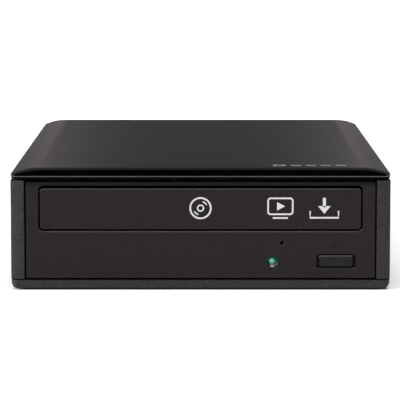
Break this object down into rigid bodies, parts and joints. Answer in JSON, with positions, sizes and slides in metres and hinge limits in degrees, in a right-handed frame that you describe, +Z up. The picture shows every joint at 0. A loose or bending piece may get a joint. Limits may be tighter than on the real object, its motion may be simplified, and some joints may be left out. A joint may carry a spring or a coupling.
{
  "type": "external optical drive",
  "caption": "Desktop external disc drive: a low box with a curved gloss lid, a sliding disc tray, an eject button, a status lamp, and sockets for data and power at the back.",
  "frame": {"origin": "centre of the footprint, on the surface that the feet stand on", "axes": "+X to the right seen from the front, +Y towards the back, +Z up; the disc tray slides out along -Y"},
  "size_m": [0.161, 0.229, 0.052],
  "materials": {
    "gloss_lid": "high gloss moulded black with fine hairline scratches",
    "inner_plastic": "plain moulded",
    "housing_plastic": "fine spark-eroded grain",
    "rubber_black": "moulded",
    "screw_steel": "zinc plated",
    "label_film": "blank printed film",
    "circuit_board": "solder mask",
    "chip_black": "moulded epoxy",
    "capacitor_can": "sleeved aluminium",
    "port_steel": "nickel plated",
    "knob_plastic": "moulded",
    "sheet_steel": "galvanised sheet",
    "bezel_plastic": "fine spark-eroded grain",
    "button_plastic": "fine grain with a smooth rim",
    "lamp_glow": "clear green epoxy",
    "lamp_lens": "frosted light guide",
    "chassis_plastic": "glass-filled moulding",
    "tray_plastic": "fine grain",
    "gear_plastic": "natural acetal",
    "motor_steel": "drawn can",
    "polished_steel": "ground",
    "machined_aluminium": "turned",
    "pulley_brass": "turned",
    "magnet_grey": "nickel plated ring",
    "cast_alloy": "die cast",
    "optic_glass": "coated lens"
  },
  "bodies": {
    "root": {"top_cover": "gloss_lid", "lid_carrier": "inner_plastic", "left_side_panel": "housing_plastic", "right_side_panel": "housing_plastic", "rear_panel": "housing_plastic", "bottom_cover": "housing_plastic", "rubber_feet": "rubber_black", "loading_belt": "rubber_black", "case_screws": "screw_steel", "drive_screws": "screw_steel", "board_screws": "screw_steel", "chassis_screws": "screw_steel", "bridge_screws": "screw_steel", "rating_label": "label_film", "bridge_board": "circuit_board", "drive_main_board": "circuit_board", "front_board": "circuit_board", "board_chips": "chip_black", "drive_board_chips": "chip_black", "eject_switch": "chip_black", "power_switch": "chip_black", "dc_jack": "chip_black", "sata_connector": "chip_black", "drive_sata_connector": "chip_black", "board_capacitors": "capacitor_can", "usb_port": "port_steel", "drive_bottom_cover": "sheet_steel", "drive_top_cover": "sheet_steel", "clamp_bridge": "sheet_steel", "front_bezel": "bezel_plastic", "status_led": "lamp_glow", "led_lens": "lamp_lens", "loader_chassis": "chassis_plastic", "loading_motor": "motor_steel"},
    "tray": {"disc_tray": "tray_plastic", "tray_door": "bezel_plastic"},
    "eject_key": {"eject_button": "button_plastic"},
    "switch_knob": {"power_switch_knob": "knob_plastic"},
    "loading_gear": {"drive_gear": "gear_plastic"},
    "belt_gear": {"pulley_gear": "gear_plastic"},
    "motor_shaft": {"motor_pulley": "pulley_brass"},
    "cam": {"cam_slider": "gear_plastic"},
    "deck": {"deck_frame": "chassis_plastic", "deck_dampers": "rubber_black", "traverse_plate": "sheet_steel", "rod_holders": "chassis_plastic", "guide_rods": "polished_steel", "sled_motor": "motor_steel", "spindle_motor": "motor_steel"},
    "spindle": {"turntable": "machined_aluminium", "turntable_pad": "rubber_black"},
    "clamp": {"clamper": "gear_plastic", "clamp_magnet": "magnet_grey"},
    "sled": {"pickup_sled": "cast_alloy"},
    "screw": {"lead_screw": "polished_steel"},
    "lens": {"lens_holder": "chassis_plastic", "objective_lens": "optic_glass"}
  },
  "joints": [
    {"name": "tray_slide", "type": "slide", "parent": "root", "child": "tray", "axis": [0, -1, 0], "range_m": [0, 0.136]},
    {"name": "loading_gear_turn", "type": "hinge", "parent": "root", "child": "loading_gear", "pos_m": [-0.036, -0.09, 0.0235], "axis": [0, 0, 1], "range_deg": [-5, 900]},
    {"name": "belt_gear_turn", "type": "hinge", "parent": "root", "child": "belt_gear", "pos_m": [-0.0184, -0.09, 0.0235], "axis": [0, 0, 1], "range_deg": [-1900, 10]},
    {"name": "motor_turn", "type": "hinge", "parent": "root", "child": "motor_shaft", "pos_m": [0.02, -0.09, 0.02], "axis": [0, 0, 1], "range_deg": [-6300, 30]},
    {"name": "deck_lift", "type": "hinge", "parent": "root", "child": "deck", "pos_m": [0, 0.044, 0.01825], "axis": [1, 0, 0], "range_deg": [0, 3.8]},
    {"name": "cam_slide", "type": "slide", "parent": "root", "child": "cam", "axis": [1, 0, 0], "range_m": [-0.0002, 0.0202]},
    {"name": "spindle_turn", "type": "hinge", "parent": "deck", "child": "spindle", "pos_m": [0, -0.046, 0.03], "axis": [0, 0, 1], "continuous": true},
    {"name": "clamp_turn", "type": "hinge", "parent": "root", "child": "clamp", "pos_m": [0, -0.046, 0.041], "axis": [0, 0, 1], "continuous": true},
    {"name": "sled_slide", "type": "slide", "parent": "deck", "child": "sled", "axis": [0, 1, 0], "range_m": [0, 0.036]},
    {"name": "screw_turn", "type": "hinge", "parent": "deck", "child": "screw", "pos_m": [0.033, 0, 0.0268], "axis": [0, 1, 0], "range_deg": [-10, 4400]},
    {"name": "lens_focus", "type": "slide", "parent": "sled", "child": "lens", "axis": [0, 0, 1], "range_m": [-0.0004, 0.0004], "stiffness_N_per_m": 250},
    {"name": "eject_press", "type": "slide", "parent": "root", "child": "eject_key", "axis": [0, 1, 0], "range_m": [0, 0.001], "stiffness_N_per_m": 500, "springref_m": -0.0008},
    {"name": "power_slide", "type": "slide", "parent": "root", "child": "switch_knob", "axis": [1, 0, 0], "range_m": [0, 0.0035]}
  ],
  "couplings": [
    {"joint": "loading_gear_turn", "follows": "tray_slide", "rad_per_m": 111.11},
    {"joint": "belt_gear_turn", "follows": "tray_slide", "rad_per_m": -238.1},
    {"joint": "motor_turn", "follows": "tray_slide", "rad_per_m": -793.65},
    {"joint": "cam_slide", "follows": "deck_lift", "m_per_rad": 0.30156},
    {"joint": "clamp_turn", "follows": "spindle_turn", "ratio": 1},
    {"joint": "screw_turn", "follows": "sled_slide", "rad_per_m": 2094.4}
  ]
}
